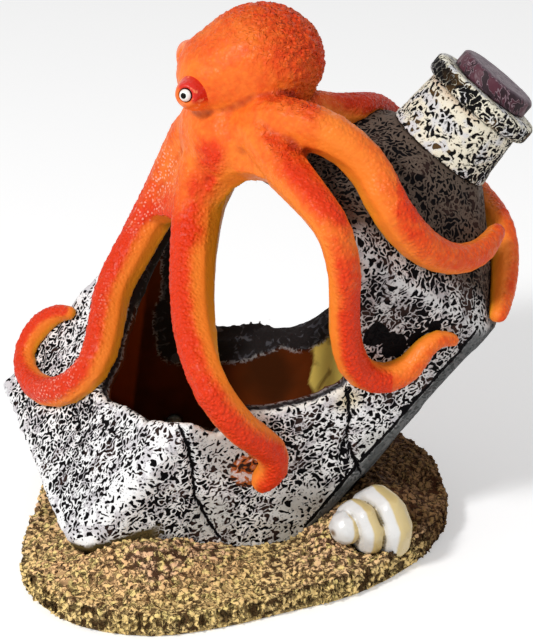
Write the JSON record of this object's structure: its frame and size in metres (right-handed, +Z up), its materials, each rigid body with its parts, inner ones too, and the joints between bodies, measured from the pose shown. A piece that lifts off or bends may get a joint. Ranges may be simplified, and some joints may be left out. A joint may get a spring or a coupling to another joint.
{
  "type": "bubbling aquarium ornament",
  "caption": "Octopus hugging a broken tilted bottle on a sandy foot; air from a rear hose inlet bubbles out through the broken bottle.",
  "frame": {"origin": "on the flat underside of the sand base, below the middle of the bottle's lean", "axes": "+Z up, +X towards the bottle's neck, -Y towards the viewer of the picture"},
  "size_m": [0.1365, 0.1248, 0.1366],
  "materials": {
    "sand": "rough cast and washed with dark brown",
    "stone_grey": "rough cast, white dry brushed over black",
    "cream": "rough cast, cream brushed over black",
    "plum": "brushed matt",
    "orange": "satin painted resin",
    "red_orange": "satin painted resin",
    "eye_white": "gloss painted resin",
    "eye_black": "gloss painted resin",
    "shell": "satin painted resin",
    "clear_plastic": "clear moulded plastic",
    "air_stone": "sintered porous grit"
  },
  "bodies": {
    "root": {"sand_base": "sand", "bottle_shell": "stone_grey", "bottle_neck": "cream", "neck_collar": "cream", "bottle_stopper": "plum", "octopus_head": "orange", "octopus_web": "orange", "snail_shell": "shell", "air_inlet_barb": "clear_plastic", "air_tube": "clear_plastic", "air_stone": "air_stone", "arm_left_loop": "orange", "arm_front": "orange", "arm_right_curl": "orange", "arm_shoulder": "orange", "arm_neck": "orange", "arm_rear_right": "orange", "arm_rear_middle": "orange", "arm_rear_left": "orange", "eyelid_front": "red_orange", "eyeball_front": "eye_white", "pupil_front": "eye_black", "eyelid_rear": "red_orange", "eyeball_rear": "eye_white", "pupil_rear": "eye_black"}
  },
  "joints": []
}
